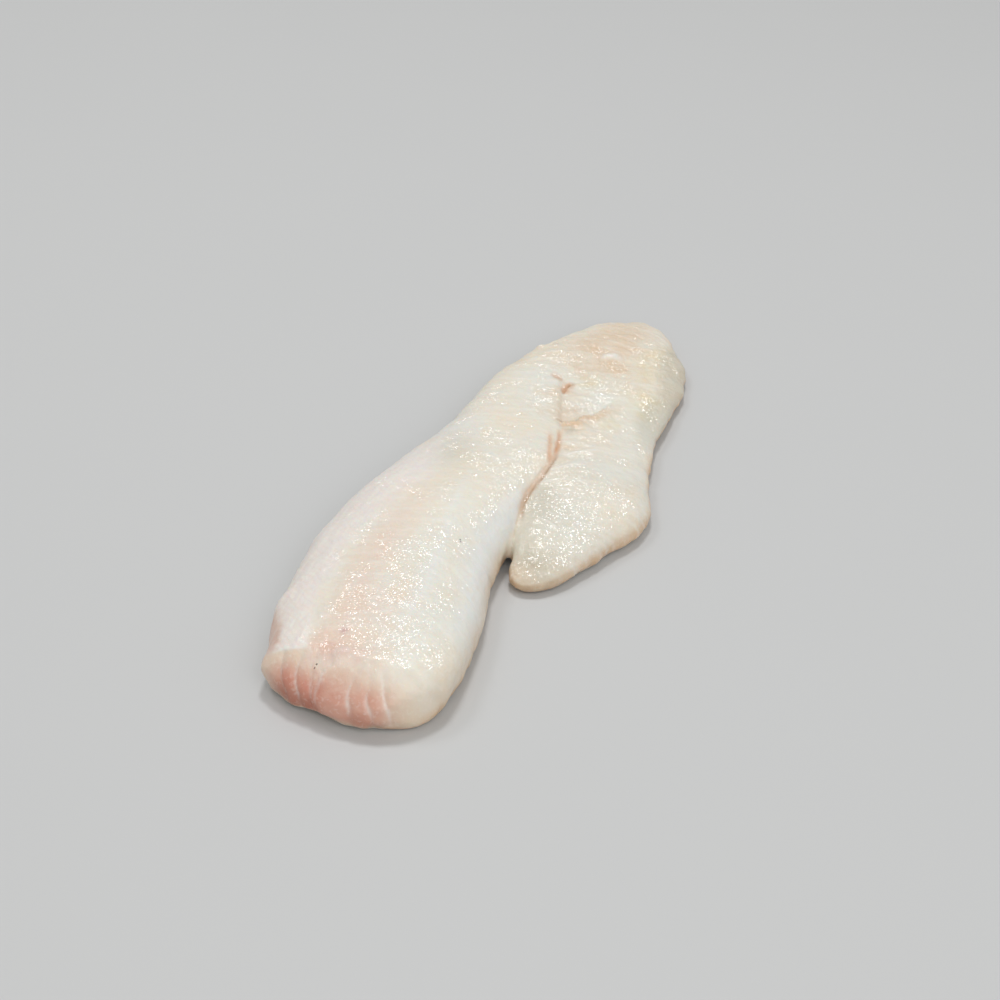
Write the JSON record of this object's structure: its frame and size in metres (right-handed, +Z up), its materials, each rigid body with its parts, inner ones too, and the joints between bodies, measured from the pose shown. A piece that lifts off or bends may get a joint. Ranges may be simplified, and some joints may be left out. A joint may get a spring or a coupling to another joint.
{
  "type": "cod fillet",
  "caption": "Raw, skinned cod fillet lying flat: a thick loin with a blunt cut end and a thinner belly flap, parted by a long slit and joined at the tail.",
  "frame": {"origin": "under the middle of the fillet's box, on the surface it lies on", "axes": "+X from the cut end to the tail, +Y to the loin's free side, +Z up out of the fillet's rounded side"},
  "size_m": [0.303, 0.1046, 0.0251],
  "materials": {
    "flesh": "wet, slightly translucent cream flesh, pinker at the cut end"
  },
  "bodies": {
    "root": {"fillet": "flesh"}
  },
  "joints": []
}
